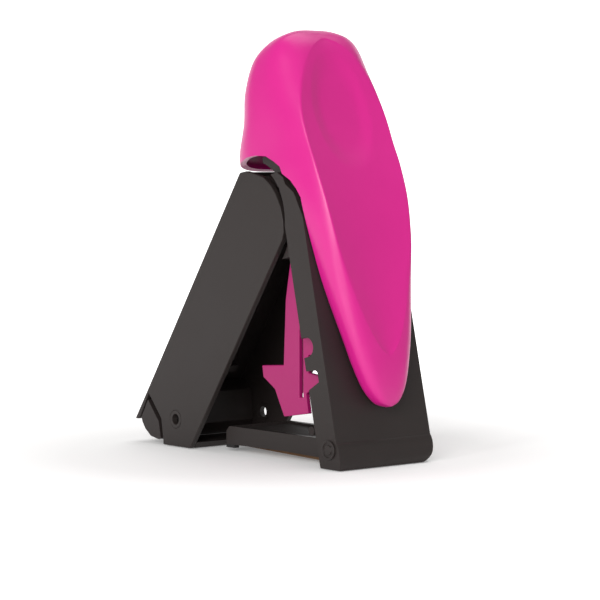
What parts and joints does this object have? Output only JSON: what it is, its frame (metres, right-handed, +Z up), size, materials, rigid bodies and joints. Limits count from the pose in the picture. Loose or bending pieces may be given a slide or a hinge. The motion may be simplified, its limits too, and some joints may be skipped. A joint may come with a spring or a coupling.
{
  "type": "folding pocket stamp",
  "caption": "Pocket stamp on a folding A-shaped stand: a hinged support leg, a hinged base with a sprung die flap, and a long rounded slide-down grip over the front leg.",
  "frame": {"origin": "centre of the footprint's box on the table", "axes": "+X from the support leg towards the front leg, +Y along the hinge pins away from the viewer, +Z up"},
  "size_m": [0.0781, 0.0296, 0.0986],
  "materials": {
    "black_plastic": "satin moulded black plastic",
    "pink_plastic": "satin magenta pink plastic",
    "steel": "plain drawn steel",
    "soft_rubber": "matte black rubber",
    "foam": "open-cell grey foam",
    "die_rubber": "blank matte red-brown rubber"
  },
  "bodies": {
    "stand": {"front_leg": "black_plastic", "hinge_head": "black_plastic", "leg_hinge_pin": "steel", "base_hinge_pin": "black_plastic", "head_screws": "steel", "spring_post": "black_plastic", "grip_spring": "steel"},
    "grip": {"grip_shell": "pink_plastic", "press_fork": "pink_plastic", "fork_pins": "steel", "spring_cup": "pink_plastic"},
    "support": {"support_leg": "black_plastic", "support_cheeks": "black_plastic", "cord_bushes": "black_plastic", "button_spring": "steel", "button_guide": "black_plastic", "back_foot_pad": "soft_rubber"},
    "button": {"release_button": "black_plastic"},
    "base": {"base_frame": "black_plastic", "base_feet": "soft_rubber"},
    "flap": {"die_flap": "black_plastic", "ink_tray": "black_plastic", "die_cushion": "foam", "rubber_die": "die_rubber"}
  },
  "joints": [
    {"name": "leg_fold", "type": "hinge", "parent": "stand", "child": "support", "pos_m": [0.00456, 0, 0.05481], "axis": [0, -1, 0], "range_deg": [0, 46.9]},
    {"name": "base_fold", "type": "hinge", "parent": "stand", "child": "base", "pos_m": [0.03357, 0, 0.0043], "axis": [0, 1, 0], "range_deg": [0, 67]},
    {"name": "grip_press", "type": "slide", "parent": "stand", "child": "grip", "axis": [0.225, 0, -0.9744], "range_m": [0, 0.0015], "stiffness_N_per_m": 900, "springref_m": -0.002, "deforming": ["grip_spring"]},
    {"name": "flap_press", "type": "hinge", "parent": "base", "child": "flap", "pos_m": [0.03357, 0, 0.0043], "axis": [0, -1, 0], "range_deg": [0, 1.5]},
    {"name": "release_press", "type": "slide", "parent": "support", "child": "button", "axis": [0.5621, 0, 0.8271], "range_m": [0, 0.0007], "stiffness_N_per_m": 800, "springref_m": -0.001, "deforming": ["button_spring"]}
  ],
  "couplings": [
    {"joint": "base_fold", "follows": "leg_fold", "ratio": 1.4286},
    {"joint": "flap_press", "follows": "grip_press", "rad_per_m": 17.453}
  ]
}
